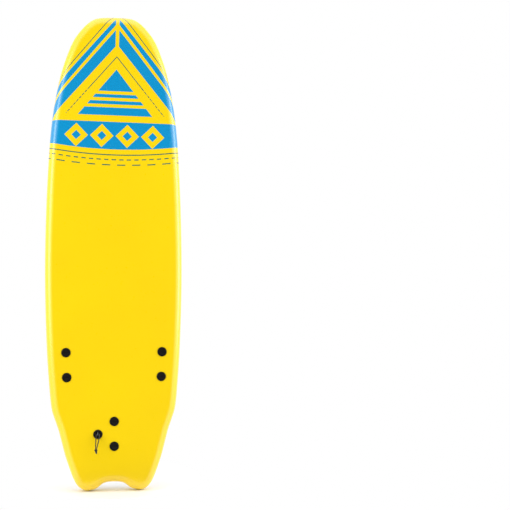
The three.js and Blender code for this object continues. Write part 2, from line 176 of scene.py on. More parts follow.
# ---------------------------------------------------------------- curves and meshes
def spline(points, closed=False, steps=24):
    """The centripetal Catmull-Rom curve through points, with so many steps to a stretch."""
    given = [np.array(p, float) for p in points]
    count = len(given)
    if closed:
        at = lambda i: given[i % count]
    else:
        ends = {-1: 2 * given[0] - given[1], count: 2 * given[-1] - given[-2]}
        at = lambda i: ends.get(i) if i in ends else given[i]
    line = []
    for i in range(count if closed else count - 1):
        p = [at(i + k) for k in (-1, 0, 1, 2)]
        before, here, after = (np.linalg.norm(b - a) ** 0.5 for a, b in zip(p, p[1:]))
        leave = ((p[1] - p[0]) / before - (p[2] - p[0]) / (before + here) + (p[2] - p[1]) / here) * here
        arrive = ((p[2] - p[1]) / here - (p[3] - p[1]) / (here + after) + (p[3] - p[2]) / after) * here
        for w in np.arange(steps) / steps:
            square = (3 * (p[2] - p[1]) - 2 * leave - arrive) * w ** 2
            cube = (2 * (p[1] - p[2]) + leave + arrive) * w ** 3
            line.append(p[1] + leave * w + square + cube)
    if not closed:
        line.append(given[-1])
    return np.array(line)


def evenly(line, step):
    """The same line with points about step apart, both ends kept."""
    run = np.concatenate([[0], np.cumsum(np.linalg.norm(np.diff(line, axis=0), axis=1))])
    count = max(2, round(run[-1] / step))
    at = np.linspace(0, run[-1], count + 1)
    return np.stack([np.interp(at, run, line[:, k]) for k in range(line.shape[1])], axis=1)


def make_piece(name, points, faces, sharp=30):
    """A closed mesh from points in millimetres, with its faces out and its hard edges marked."""
    mesh = bpy.data.meshes.new(name)
    mesh.from_pydata([tuple(float(v) * MM for v in p) for p in points], [], faces)
    shape = bmesh.new()
    shape.from_mesh(mesh)
    bmesh.ops.remove_doubles(shape, verts=shape.verts, dist=1e-7)
    bmesh.ops.recalc_face_normals(shape, faces=shape.faces)
    shape.to_mesh(mesh)
    shape.free()
    piece = bpy.data.objects.new(name, mesh)
    bpy.context.scene.collection.objects.link(piece)
    smooth(piece, sharp)
    return piece


def smooth(piece, sharp):
    piece.data.shade_smooth()
    piece.data.set_sharp_from_angle(angle=math.radians(sharp))


def carve(piece, tools, operation="DIFFERENCE", sharp=30):
    """Cuts the tools out of piece, or joins them to it, and throws the tools away."""
    for tool in tools:
        change = piece.modifiers.new("carve", "BOOLEAN")
        change.operation = operation
        change.solver = "MANIFOLD"
        change.object = tool
    result = piece.evaluated_get(bpy.context.evaluated_depsgraph_get())
    mesh = bpy.data.meshes.new_from_object(result)
    mesh.name = piece.name
    piece.modifiers.clear()
    piece.data = mesh
    for tool in tools:
        bpy.data.objects.remove(tool)
    smooth(piece, sharp)
    return piece


def turned(profile, x, z, sides=64):
    """Points and faces of a round solid on the axis at (x, z), from (radius, height above the bottom).

    A radius may be a function of the angle. A profile that doesn't end on the axis closes on itself."""
    points, rings, faces = [], [], []
    for radius, height in profile:
        if not callable(radius) and radius == 0:
            rings.append([len(points)] * sides)
            points.append((x, BOTTOM_Y - height, z))
            continue
        rings.append(list(range(len(points), len(points) + sides)))
        for i in range(sides):
            a = 2 * math.pi * i / sides
            r = radius(a) if callable(radius) else radius
            points.append((x + r * math.cos(a), BOTTOM_Y - height, z + r * math.sin(a)))
    pairs = list(zip(rings, rings[1:]))
    if len(set(rings[0])) > 1:
        pairs.append((rings[-1], rings[0]))
    for low, high in pairs:
        for i in range(sides):
            j = (i + 1) % sides
            corners = list(dict.fromkeys([low[i], low[j], high[j], high[i]]))
            faces.append(corners)
    return points, faces


def rod_tool(radius, low, high, x, z):
    return make_piece("tool", *turned([(0, low), (radius, low), (radius, high), (0, high)], x, z))


def rounded(radius, height, size, outward=1, steps=5):
    """The quarter round from a wall at radius to a face at height, as profile points."""
    turns = [math.pi / 2 * k / steps for k in range(steps + 1)]
    return [(radius - outward * size * (1 - math.cos(a)), height - size * (1 - math.sin(a))) for a in turns]


# ---------------------------------------------------------------- the board's surface
def rocker(z):
    return ROCKER * max(0.0, (z - ROCKER_START) / (LENGTH - ROCKER_START)) ** 2


def foil(z):
    tail = max(0.0, (TAIL_TAPER - z) / TAIL_TAPER)
    nose = max(0.0, (z - LENGTH + NOSE_TAPER) / NOSE_TAPER)
    return 1 - TAIL_THINNING * tail ** 2 - NOSE_THINNING * nose ** 2


def surface_y(z, height):
    return BOTTOM_Y - rocker(z) - height * foil(z)


def lower_rail(degrees, depth=0):
    """(inset, height) on the lower quarter ellipse of the rail, sunk by depth."""
    a = math.radians(degrees)
    across, up = RAIL_DROP * math.cos(a), RAIL_TUCK * math.sin(a)
    out = depth / math.hypot(across, up)
    return RAIL_TUCK * (1 - math.cos(a)) + out * across, RAIL_APEX - RAIL_DROP * math.sin(a) + out * up


def upper_rail(degrees, depth=0):
    """(inset, height) on the upper quarter ellipse of the rail, sunk by depth."""
    a = math.radians(degrees)
    rise = THICKNESS - RAIL_APEX
    across, down = rise * math.cos(a), RAIL_ROLL * math.sin(a)
    out = depth / math.hypot(across, down)
    return RAIL_ROLL * (1 - math.cos(a)) + out * across, RAIL_APEX + rise * math.sin(a) - out * down


def board_ring():
    """The outline as evenly spaced points, with the way inwards at each and where the tail tip lies."""
    steps = 40
    half = SIDE + NOTCH
    loop = half + [(-x, z) for x, z in reversed(half[1:-1])]
    line = spline(loop, closed=True, steps=steps)
    tip, notch = (len(SIDE) - 1) * steps, (len(half) - 1) * steps
    down = evenly(line[:tip + 1], OUTLINE_STEP)
    up = evenly(line[tip:notch + 1], OUTLINE_STEP)
    right = np.concatenate([down, up[1:]])
    ring = np.concatenate([right, right[1:-1][::-1] * [-1, 1]])
    along = np.roll(ring, -1, axis=0) - np.roll(ring, 1, axis=0)
    along /= np.linalg.norm(along, axis=1)[:, None]
    inwards = np.stack([along[:, 1], -along[:, 0]], axis=1)
    return ring, inwards, len(down) - 1


RING, INWARDS, TIP_INDEX = board_ring()
NOTCH_INDEX = len(RING) // 2


def zipped(a, b, points):
    """Triangles between two chains of point numbers, short diagonals first."""
    faces, i, j = [], 0, 0
    while i < len(a) - 1 or j < len(b) - 1:
        from_a = np.linalg.norm(points[a[i + 1]] - points[b[j]]) if i < len(a) - 1 else math.inf
        from_b = np.linalg.norm(points[b[j + 1]] - points[a[i]]) if j < len(b) - 1 else math.inf
        if from_a <= from_b:
            faces.append((a[i], a[i + 1], b[j]))
            i += 1
        else:
            faces.append((a[i], b[j + 1], b[j]))
            j += 1
    return [f for f in faces if len(set(f)) == 3]


def closed_across(points, start, height):
    """Faces over a ring: rungs from the middle line to each side, then the flat tail round its notch."""
    peak = points[start + NOTCH_INDEX][2]
    spine = []
    last = 1
    while last < TIP_INDEX and points[start + last][2] > peak + NOTCH_MARGIN:
        z = points[start + last][2]
        spine.append(len(points))
        points.append(np.array([0, surface_y(z, height), z]))
        last += 1
    faces = []
    for side in (1, -1):
        number = lambda k: start + (k if side > 0 else (len(RING) - k) % len(RING))
        faces += zipped([number(k) for k in range(last)], [number(0)] + spine, points)
        tail = [spine[-1]] + [number(k) for k in range(last - 1, NOTCH_INDEX + 1)]
        corners = [Vector((points[i][0], points[i][2], 0)) for i in tail]
        faces += [tuple(tail[i] for i in triangle) for triangle in tessellate_polygon([corners])]
    return faces


def slab(rings):
    """Points and faces of a closed solid from (inset, height) rings, both end rings closed across."""
    points, faces = [], []
    for inset, height in rings:
        for x, z in RING + INWARDS * inset:
            points.append(np.array([x, surface_y(z, height), z]))
    size = len(RING)
    for r in range(len(rings) - 1):
        for i in range(size):
            a, b = r * size + i, r * size + (i + 1) % size
            faces.append((a, b, b + size, a + size))
    faces += closed_across(points, 0, rings[0][1])
    faces += closed_across(points, (len(rings) - 1) * size, rings[-1][1])
    return points, faces


def centre(node):
    """The middle of a CAD node across the board and along it, in millimetres."""
    low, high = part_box(node)
    return (low.x + high.x) / 2 / MM, (low.z + high.z) / 2 / MM


BOLTS = [f"{fin}_{end}" for fin in ("left", "right", "centre") for end in ("front", "rear")]
BOLT_AT = {name: centre("fin_bolt_" + name) for name in BOLTS}
PLUG_AT = centre("leash_plug_cup")


def through_holes(plug_hole):
    """Tools that cut a sheet open for the six sleeves and, plug_hole in radius, for the leash plug."""
    span = -CUT_REACH, THICKNESS + CUT_REACH
    tools = [rod_tool(SLEEVE_RADIUS + GAP, *span, *at) for at in BOLT_AT.values()]
    return tools + [rod_tool(plug_hole, *span, *PLUG_AT)]


# ---------------------------------------------------------------- the two sheets
def make_deck():
    """The deck sheet: pressed foam over the deck and round the rails to a lip on the bottom."""
    lip = [(LIP_INSET, 2.6), (LIP_INSET, EDGE), (LIP_INSET - EDGE, 0), (11.2, 0), (9.7, 0.25), (8.4, 1.1)]
    outer = lip + [lower_rail(a) for a in (52, 45, 37, 28, 19, 9)]
    outer += [upper_rail(a) for a in np.linspace(0, 90, 15)]
    inner = [upper_rail(a, SKIN) for a in (90, 67, 45, 22)] + [lower_rail(a, SKIN) for a in (0, 30, 60)]
    points, faces = slab(inner + outer)
    piece = make_piece("deck_skin_printed", points, faces, sharp=24)
    mark_print(piece, outer)
    recesses = [pressed_recess(*at) for at in [*BOLT_AT.values(), PLUG_AT]]
    return carve(piece, recesses + through_holes(PLUG_TUBE + GAP), sharp=24)


def pressed_recess(x, z):
    """The round hollow that a bolt head presses into the deck, with a broken edge."""
    edge = RECESS_RADIUS + RECESS_CHAMFER
    profile = [(0, HEAD_SEAT), (RECESS_RADIUS, HEAD_SEAT), (RECESS_RADIUS, THICKNESS - RECESS_CHAMFER),
               (edge, THICKNESS), (edge + 4, THICKNESS + 4), (0, THICKNESS + 4)]
    return make_piece("tool", *turned(profile, x, z, sides=96))


def mark_print(piece, outer):
    """Stores where each point of the sheet lay in the flat print, before it was wrapped round the rails."""
    run = 0
    unrolled = [RAIL_ROLL]
    for (a, h), (b, k) in zip(outer[::-1], outer[-2::-1]):
        run += math.hypot(b - a, k - h)
        unrolled.append(RAIL_ROLL - run)
    places = []
    for (inset, height), flat in zip(outer[::-1], unrolled):
        for (x, z), (u, v) in zip(RING + INWARDS * inset, RING + INWARDS * flat):
            places.append(((x, surface_y(z, height), z), (u, v)))
    tree = kdtree.KDTree(len(places))
    for i, (at, _) in enumerate(places):
        tree.insert([c * MM for c in at], i)
    tree.balance()
    layer = piece.data.attributes.new("print_place", "FLOAT_VECTOR", "POINT")
    for i, vertex in enumerate(piece.data.vertices):
        _, found, distance = tree.find(vertex.co)
        x, z = places[found][1] if distance < 1e-5 else (vertex.co.x / MM, vertex.co.z / MM)
        layer.data[i].vector = (x, 0, z)


def make_bottom():
    """The hard slick sheet of the bottom, its edge just inside the deck sheet's lip."""
    inset = LIP_INSET + GAP
    rings = [(inset, SLICK), (inset, EDGE), (inset + 0.2 * EDGE, 0.3 * EDGE), (inset + EDGE, 0)]
    piece = make_piece("bottom_skin_slick", *slab(rings), sharp=24)
    return carve(piece, through_holes(SPIGOT_RADIUS + GAP), sharp=24)


# ---------------------------------------------------------------- fins
def fin_edges(depth):
    """Leading and trailing edge of the blade at a depth, all as fractions of the root."""
    line = spline(FIN_STATIONS)
    return np.interp(depth, line[:, 0], line[:, 1]), np.interp(depth, line[:, 0], line[:, 2])


def foil_section(s):
    """Half thickness of the blade at s from the leading to the trailing edge: full in front, thin behind."""
    fullest = 0.35
    if s < fullest:
        return math.sin(math.pi / 2 * (s / fullest) ** 0.6)
    return 1 - 0.9 * ((s - fullest) / (1 - fullest)) ** 1.5


def blade(root):
    """Points and faces of the foiled blade, spread at its foot by a fillet onto the flange."""
    tip = FIN_STATIONS[-1][0]
    foot = [(FLANGE + h) / root for h in (-2.5, -0.2, 0.1, 0.4, 0.8, 1.3, 1.9, 2.6, 3.4)]
    body = list(np.linspace(foot[-1], 0.5, 20)[1:]) + [0.52, 0.535, 0.548, 0.558, 0.563, tip]
    chordwise = [(1 - math.cos(math.pi * k / 24)) / 2 for k in range(25)]
    points, faces = [], []
    depths = foot + body
    for depth in depths:
        front, back = fin_edges(depth)
        thickness = BLADE_ROOT + (BLADE_TIP - BLADE_ROOT) * depth / tip
        near = min(1.0, max(0.0, 1 - (depth * root - FLANGE) / BLADE_FILLET))
        spread = BLADE_FILLET * (1 - math.sqrt(1 - near ** 2)) * 0.8
        lead, chord = front * root - spread * 0.3, (back - front) * root + spread * 0.6
        if depth == tip:
            thickness *= 0.6
        right = [(foil_section(s) * thickness / 2 + spread * math.sin(math.pi * min(1, s + 0.02)) ** 0.3, s)
                 for s in chordwise]
        left = [(-x, s) for x, s in right[-1:0:-1]]
        points += [(x, depth * root, root / 2 - lead - s * chord) for x, s in right + left]
    sides = len(points) // len(depths)
    for r in range(len(depths) - 1):
        for i in range(sides):
            a, b = r * sides + i, r * sides + (i + 1) % sides
            faces.append((a, b, b + sides, a + sides))
    faces.append(tuple(range(sides)))
    faces.append(tuple(range((len(depths) - 1) * sides, len(points))))
    return points, faces


def pill(straight, radius, steps=20):
    """A flat shape of two half rounds joined by straight sides, as (x, z) points."""
    turns = [math.pi * k / steps for k in range(steps + 1)]
    top = [(radius * math.cos(a), straight + radius * math.sin(a)) for a in turns]
    return top + [(-x, -z) for x, z in top]


def stacked(layers):
    """Points and faces of a solid from closed layers of (x, y, z) points of equal number."""
    points = [p for layer in layers for p in layer]
    sides = len(layers[0])
    faces = [tuple(range(sides)), tuple(range(len(points) - sides, len(points)))]
    for r in range(len(layers) - 1):
        for i in range(sides):
            a, b = r * sides + i, r * sides + (i + 1) % sides
            faces.append((a, b, b + sides, a + sides))
    return points, faces


def flange(root, width):
    radius = width / 2
    straight = (root - width) / 2
    edge = [(FLANGE_BEVEL * (1 - math.cos(a)), FLANGE - FLANGE_BEVEL * (1 - math.sin(a)))
            for a in np.linspace(0, math.pi / 2, 6)]
    layers = [[(x, y, z) for x, z in pill(straight, radius - inset)] for inset, y in [(0, 0)] + edge]
    return stacked(layers)


def make_fin(name, root, width):
    """One moulding: the flange on the bottom, the blade on it and the two threaded posts inside."""
    front, rear = BOLT_AT[name + "_front"], BOLT_AT[name + "_rear"]
    span = math.dist(front, rear)
    lean = math.atan2(front[0] - rear[0], front[1] - rear[1])
    piece = make_piece(f"fin_{name}_moulded", *flange(root, width))
    tools = [make_piece("tool", *blade(root), sharp=40)]
    for z in (span / 2, -span / 2):
        tools.append(rod_tool(POST_RADIUS, BOTTOM_Y - 1, BOTTOM_Y + POST_LENGTH, 0, z))
    carve(piece, tools, "UNION")
    carve(piece, [rod_tool(POST_BORE, BOTTOM_Y + 1, BOTTOM_Y + POST_LENGTH + 1, 0, z)
                  for z in (span / 2, -span / 2)], sharp=34)
    middle = [(a + b) / 2 for a, b in zip(front, rear)]
    for vertex in piece.data.vertices:
        x, y, z = vertex.co / MM
        vertex.co = Vector((
            middle[0] + x * math.cos(lean) + z * math.sin(lean),
            BOTTOM_Y + GAP + y,
            middle[1] - x * math.sin(lean) + z * math.cos(lean),
        )) * MM
    return piece


# ---------------------------------------------------------------- bolts and washers
def thread(height):
    """Radius of the threaded shank at a height, as a function of the angle."""
    def radius(angle):
        turn = (height / THREAD_PITCH + angle / (2 * math.pi)) % 1
        flank = min(1.0, max(0.0, abs(turn - 0.5) * 4 - 0.5))
        ease = min(1.0, (height - SHANK_END) / THREAD_PITCH)
        return SHANK_RADIUS - THREAD_DEPTH * (flank * ease + 1 - ease)
    return radius


def make_bolt(name):
    """A fin bolt: a low round head with a coin slot, and a coarse thread on the end of its shank."""
    x, z = BOLT_AT[name]
    rows = np.arange(SHANK_END + 0.3, THREAD_TOP, 0.42)
    shank = [(0, SHANK_END), (SHANK_RADIUS - 1.2, SHANK_END)] + [(thread(h), h) for h in rows]
    head = [(SHANK_RADIUS, THREAD_TOP + 0.5), (SHANK_RADIUS, HEAD_BOTTOM - 1),
            (SHANK_RADIUS + 0.9, HEAD_BOTTOM), (HEAD_RADIUS - 0.3, HEAD_BOTTOM),
            (HEAD_RADIUS, HEAD_BOTTOM + 0.3)]
    head += rounded(HEAD_RADIUS, HEAD_TOP, 1.2)
    ridge = [(15.2, HEAD_TOP), (15.0, HEAD_TOP - 0.35), (14.4, HEAD_TOP - 0.35), (14.2, HEAD_TOP)]
    piece = make_piece(f"fin_bolt_{name}_threaded", *turned(shank + head + ridge + [(0, HEAD_TOP)], x, z, 48))
    return carve(piece, [slot_tool(x, z)])


def slot_tool(x, z):
    """The coin slot's shape: round ends, and walls that open out at the top."""
    radius = COIN_SLOT["width"] / 2
    straight = COIN_SLOT["length"] / 2 - radius
    floor = HEAD_TOP - COIN_SLOT["depth"]
    layers = []
    walls = ((floor, -0.2), (floor + 0.3, 0), (HEAD_TOP - 0.35, 0), (HEAD_TOP, 0.35), (HEAD_TOP + 1, 1.35))
    for height, grow in walls:
        layers.append([(x + b, BOTTOM_Y - height, z + a) for a, b in pill(straight, radius + grow, 10)])
    return make_piece("tool", *stacked(layers))


def make_washer(name):
    low = HEAD_SEAT + GAP
    soft = 0.25
    outer, high = HEAD_RADIUS - 0.5, low + WASHER
    profile = [(WASHER_BORE, low + soft), (WASHER_BORE + soft, low), (outer - soft, low),
               (outer, low + soft), (outer, high - soft), (outer - soft, high),
               (WASHER_BORE + soft, high), (WASHER_BORE, high - soft)]
    return make_piece(f"bolt_washer_{name}_rubber", *turned(profile, *BOLT_AT[name], 64))


# ---------------------------------------------------------------- leash plug and string
def make_plug():
    """The cup let into the deck, the steel bar across it and the base disc on the bottom."""
    top = HEAD_SEAT + GAP + PLUG_HEAD
    low = SLICK + GAP
    seat = HEAD_SEAT + GAP
    profile = [(0, CUP_FLOOR), (CUP_BORE - 1, CUP_FLOOR), (CUP_BORE, CUP_FLOOR + 1), (CUP_BORE, top - 1.2)]
    profile += [(CUP_BORE + 1.2 * (1 - math.cos(a)), top - 1.2 * (1 - math.sin(a)))
                for a in np.linspace(0, 1.57, 5)]
    profile += [(13.2, top), (13.4, top - 0.3), (13.9, top - 0.3), (14.1, top)]
    profile += rounded(HEAD_RADIUS, top, 1.4)[::-1]
    profile += [(HEAD_RADIUS, seat + 0.3), (HEAD_RADIUS - 0.3, seat), (PLUG_TUBE, seat), (PLUG_TUBE, low),
                (SPIGOT_RADIUS + GAP, low), (SPIGOT_RADIUS + GAP, CUP_FLOOR - CUP_FLOOR_THICKNESS),
                (0, CUP_FLOOR - CUP_FLOOR_THICKNESS)]
    cup = make_piece("leash_plug_cup_turned", *turned(profile, *PLUG_AT, 80))
    face = -GAP - PLUG_BASE_HEIGHT
    disc = [(0, face + 0.5), (3.2, face + 0.5), (3.6, face), (11.6, face), (11.9, face + 0.3),
            (12.4, face + 0.3), (12.7, face), (PLUG_BASE_RADIUS - 1.2, face),
            (PLUG_BASE_RADIUS - 0.35, face + 0.35), (PLUG_BASE_RADIUS, face + 1.2),
            (PLUG_BASE_RADIUS, -GAP), (SPIGOT_RADIUS, -GAP),
            (SPIGOT_RADIUS, SPIGOT_TOP - 0.8), (SPIGOT_RADIUS - 0.8, SPIGOT_TOP), (0, SPIGOT_TOP)]
    base = make_piece("leash_plug_base_turned", *turned(disc, *PLUG_AT, 80))
    return cup, make_bar(), base


def make_bar():
    """The steel bar, with its ends rounded off."""
    low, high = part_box("leash_plug_bar")
    x, y = (low.x + high.x) / 2 / MM, (low.y + high.y) / 2 / MM
    ends = low.z / MM, high.z / MM
    crown = 0.7
    stations = [(BAR_RADIUS - crown, ends[0]), (BAR_RADIUS - crown * 0.3, ends[0] + crown * 0.3),
                (BAR_RADIUS, ends[0] + crown), (BAR_RADIUS, ends[1] - crown),
                (BAR_RADIUS - crown * 0.3, ends[1] - crown * 0.3), (BAR_RADIUS - crown, ends[1])]
    turns = [2 * math.pi * k / 40 for k in range(40)]
    layers = [[(x + r * math.cos(a), y + r * math.sin(a), z) for a in turns] for r, z in stations]
    return make_piece("leash_plug_bar_steel", *stacked(layers))


def string_point(from_middle, drift, down, height):
    return np.array([PLUG_AT[0] + from_middle + drift, BOTTOM_Y - height, PLUG_AT[1] + down])


def braided(line, radius=CORD / 2, ends=1.0):
    """Points and faces of a closed tube along line, with the crossing ribs of a braid in its surface."""
    sides, ribs, twist, relief, step = 32, 4, 2.0, 0.1, 0.3
    line = evenly(line, step)
    along = np.gradient(line, axis=0)
    along /= np.linalg.norm(along, axis=1)[:, None]
    across = np.cross(along[0], [0.3, 0.2, 1])
    layers = []
    for i, (at, way) in enumerate(zip(line, along)):
        across = across - way * (across @ way)
        across /= np.linalg.norm(across)
        other = np.cross(way, across)
        end = min(i, len(line) - 1 - i) * step
        taper = ends + (1 - ends) * min(1.0, end / radius) if end < radius else 1.0
        layer = []
        for k in range(sides):
            a = 2 * math.pi * k / sides
            rib = max(abs(math.cos(ribs * a + twist * i * step)), abs(math.cos(ribs * a - twist * i * step)))
            r = radius * taper * (1 - relief * (1 - rib))
            layer.append(at + r * (math.cos(a) * across + math.sin(a) * other))
        layers.append(layer)
    return stacked(layers)


def make_leg(name, side):
    """One leg of the string, out of the cup, over the rim and down the deck to the knot."""
    route = [string_point(side * out, drift, down, height) for out, drift, down, height in CORD_LEG]
    line = spline(route)
    piece = make_piece(f"leash_string_{name}_braid", *braided(line, ends=0.9), sharp=60)
    path = evenly(line, 2.0) * MM
    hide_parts("leash_string_" + name)
    return piece, path


def knot_line():
    """An overhand knot pulled tight, as a closed line round the knot's middle."""
    middle = string_point(0, KNOT["drift"], KNOT["down"], KNOT["height"])
    size = 1.55
    line = []
    for t in np.linspace(0, 2 * math.pi, 120):
        x = math.sin(t) + 2 * math.sin(2 * t)
        z = math.cos(t) - 2 * math.cos(2 * t)
        y = -1.35 * math.sin(3 * t)
        line.append(middle + size * np.array([x, y, z]))
    return middle, np.array(line)


def make_knot():
    """The knot that ties the two legs, with the legs' last bends into it and its two melted tails."""
    middle, line = knot_line()
    points, faces = braided(line)
    for side in (1, -1):
        before, end = (string_point(side * out, *rest) for out, *rest in CORD_LEG[-2:])
        way = (end - before) / np.linalg.norm(end - before)
        bend = spline([end - 0.5 * way, end + 2 * way, middle + [1.3 * side, 0, 0]])
        more, more_faces = braided(bend, radius=0.49 * CORD)
        faces += [tuple(i + len(points) for i in f) for f in more_faces]
        points += more
        pitch, yaw = math.radians(58 - 8 * side), math.radians(10 * side - 8)
        way = np.array([-math.sin(pitch) * math.sin(yaw), -math.cos(pitch), -math.sin(pitch) * math.cos(yaw)])
        start = middle + [2.6 * side, 0, 0]
        tail = np.array([start + way * k for k in np.linspace(1, KNOT_TAIL, 12)])
        more, more_faces = braided(tail, ends=0.72)
        faces += [tuple(i + len(points) for i in f) for f in more_faces]
        points += more
    return make_piece("leash_string_knot_tied", points, faces, sharp=60)


# ---------------------------------------------------------------- label
def make_label():
    """A thin vinyl label with round corners, laid on the slick bottom."""
    x, z = centre("bottom_label")
    half_width, half_length, corner = LABEL["width"] / 2, LABEL["length"] / 2, LABEL["corner"]
    lean = math.tan(math.radians(LABEL["tilt"]))
    ends = [half_length - corner * (1 - math.cos(a)) for a in np.linspace(0, math.pi / 2, 6)]
    straight = half_length - corner
    stations = [-v for v in ends] + list(np.linspace(-straight, straight, 14)[1:-1]) + ends[::-1]
    layers = []
    for along in stations:
        past = max(0.0, abs(along) - straight)
        half = half_width - corner + math.sqrt(max(0.0, corner ** 2 - past ** 2))
        low = surface_y(z + along, 0) + GAP
        high = low + LABEL["thickness"]
        section = [(-half, low), (half, low), (half, high - 0.12), (half - 0.12, high), (0.12 - half, high),
                   (-half, high - 0.12)]
        layers.append([(x + along * lean + across, y, z + along) for across, y in section])
    return make_piece("bottom_label_vinyl", *stacked(layers))


# ---------------------------------------------------------------- materials
def linear(red, green, blue):
    """A display colour, 0 to 255, as the linear colour that shaders work in."""
    channels = [c / 255 for c in (red, green, blue)]
    return tuple(c / 12.92 if c <= 0.04045 else ((c + 0.055) / 1.055) ** 2.4 for c in channels) + (1.0,)


class Finish:
    """A material written as plain calls: each call adds a node and gives back its output."""

    def __init__(self, name, **sockets):
        self.material = bpy.data.materials.new(name)
        self.material.use_nodes = True
        self.tree = self.material.node_tree
        self.shader = self.tree.nodes["Principled BSDF"]
        for label, value in sockets.items():
            self.shader.inputs[label.replace("_", " ").title().replace("Ior", "IOR")].default_value = value

    def put(self, value, socket):
        if isinstance(value, bpy.types.NodeSocket):
            self.tree.links.new(value, socket)
        else:
            socket.default_value = value

    def math(self, operation, a, b=0.0, clamp=False):
        node = self.tree.nodes.new("ShaderNodeMath")
        node.operation = operation
        node.use_clamp = clamp
        self.put(a, node.inputs[0])
        self.put(b, node.inputs[1])
        return node.outputs[0]

    def add(self, a, b):
        return self.math("ADD", a, b)

    def less(self, a, b):
        return self.math("SUBTRACT", a, b)

    def times(self, a, b):
        return self.math("MULTIPLY", a, b)

    def size(self, a):
        return self.math("ABSOLUTE", a)

    def both(self, *masks):
        joined = masks[0]
        for mask in masks[1:]:
            joined = self.math("MINIMUM", joined, mask)
        return joined

    def either(self, *masks):
        joined = masks[0]
        for mask in masks[1:]:
            joined = self.math("MAXIMUM", joined, mask)
        return joined

    def without(self, mask, hole):
        return self.math("SUBTRACT", mask, hole, clamp=True)

    def above(self, value, edge, blur=0.5):
        """1 where value is over edge, 0 where it is under, and a clean printed edge between."""
        return self.math("ADD", self.times(self.less(value, edge), 1 / blur), 0.5, clamp=True)

    def below(self, value, edge, blur=0.5):
        return self.above(self.times(value, -1), -edge, blur)

    def near(self, value, middle, half, blur=0.5):
        return self.below(self.size(self.less(value, middle)), half, blur)

    def object_place(self):
        return self.tree.nodes.new("ShaderNodeTexCoord").outputs["Object"]

    def stretched(self, scale):
        node = self.tree.nodes.new("ShaderNodeMapping")
        self.put(self.object_place(), node.inputs["Vector"])
        node.inputs["Scale"].default_value = scale
        return node.outputs[0]

    def parts(self, vector):
        node = self.tree.nodes.new("ShaderNodeSeparateXYZ")
        self.put(vector, node.inputs[0])
        return node.outputs

    def attribute(self, name):
        node = self.tree.nodes.new("ShaderNodeAttribute")
        node.attribute_name = name
        return node.outputs["Vector"]

    def noise(self, scale, detail=3.0, place=None, roughness=0.5):
        node = self.tree.nodes.new("ShaderNodeTexNoise")
        self.put(place or self.object_place(), node.inputs["Vector"])
        node.inputs["Scale"].default_value = scale
        node.inputs["Detail"].default_value = detail
        node.inputs["Roughness"].default_value = roughness
        return node.outputs[0]

    def cells(self, scale, feature="F1", place=None):
        node = self.tree.nodes.new("ShaderNodeTexVoronoi")
        node.feature = feature
        self.put(place or self.object_place(), node.inputs["Vector"])
        node.inputs["Scale"].default_value = scale
        return node.outputs["Distance"]

    def ranged(self, value, low, high, to_low, to_high):
        node = self.tree.nodes.new("ShaderNodeMapRange")
        for socket, given in zip(node.inputs, (value, low, high, to_low, to_high)):
            self.put(given, socket)
        return node.outputs[0]

    def mixed(self, factor, a, b):
        node = self.tree.nodes.new("ShaderNodeMix")
        node.data_type = "RGBA"
        self.put(factor, node.inputs["Factor"])
        self.put(a, node.inputs[6])
        self.put(b, node.inputs[7])
        return node.outputs[2]

    def bump(self, height, strength, distance, under=None):
        node = self.tree.nodes.new("ShaderNodeBump")
        node.inputs["Strength"].default_value = strength
        node.inputs["Distance"].default_value = distance
        self.put(height, node.inputs["Height"])
        if under is not None:
            self.put(under, node.inputs["Normal"])
        return node.outputs[0]

    def done(self, colour, roughness, normal=None):
        self.put(colour, self.shader.inputs["Base Color"])
        self.put(roughness, self.shader.inputs["Roughness"])
        if normal is not None:
            self.put(normal, self.shader.inputs["Normal"])
        return self.material


YELLOW = linear(255, 219, 0)
BLUE = linear(0, 150, 209)
INK = linear(40, 112, 88)
PRINT_LEAN = math.radians(1.5)
PRINT_MIDDLE = (2.0, 1467.0)

# chevron edges as (height of the apex, fall for each millimetre to the side)
MEDIUM_CHEVRON = ((1827.3, 1.176), (1803.6, 1.218))
WIDE_CHEVRON = ((1784, 1.197), (1721, 1.156))
TRIANGLE = (1627.1, 1.218)
TRIANGLE_BASE = 1453.3
STRIPES = (1538.8, 1514.2, 1489.1)
STRIPE_HALF = 6
SPLIT_HALF = 6.6
OUTER_LINE = (1855.2, 1.228)
INNER_LINE = (1674.6, 1.163)
INNER_LINE_SOLID_TO = 1554.9
INNER_LINE_FOOT = TRIANGLE_BASE + 3
LINE_HALF = 2.4                   # in height, for a line that falls with a chevron
DASH = {"pitch": 12.5, "share": 0.72}
BAND = (1323.8, 1428.5)
SMILE = 2.84e-4                   # how fast the band's lower edge rises to the rails
MARKS = {"pitch": 98, "height": 1375.4, "half": (45, 44.4), "core": 0.4}
UNDERLINE = {"height": 1302.7, "half": 2}
SHORT_DASHES = {"height": 1284.4, "half": 2.1, "pitch": 29.1, "length": 17, "phase": 0.5}
LONG_DASHES = {"height": 1264.3, "half": 2.1, "pitch": 58.2, "length": 32, "phase": 0.0}


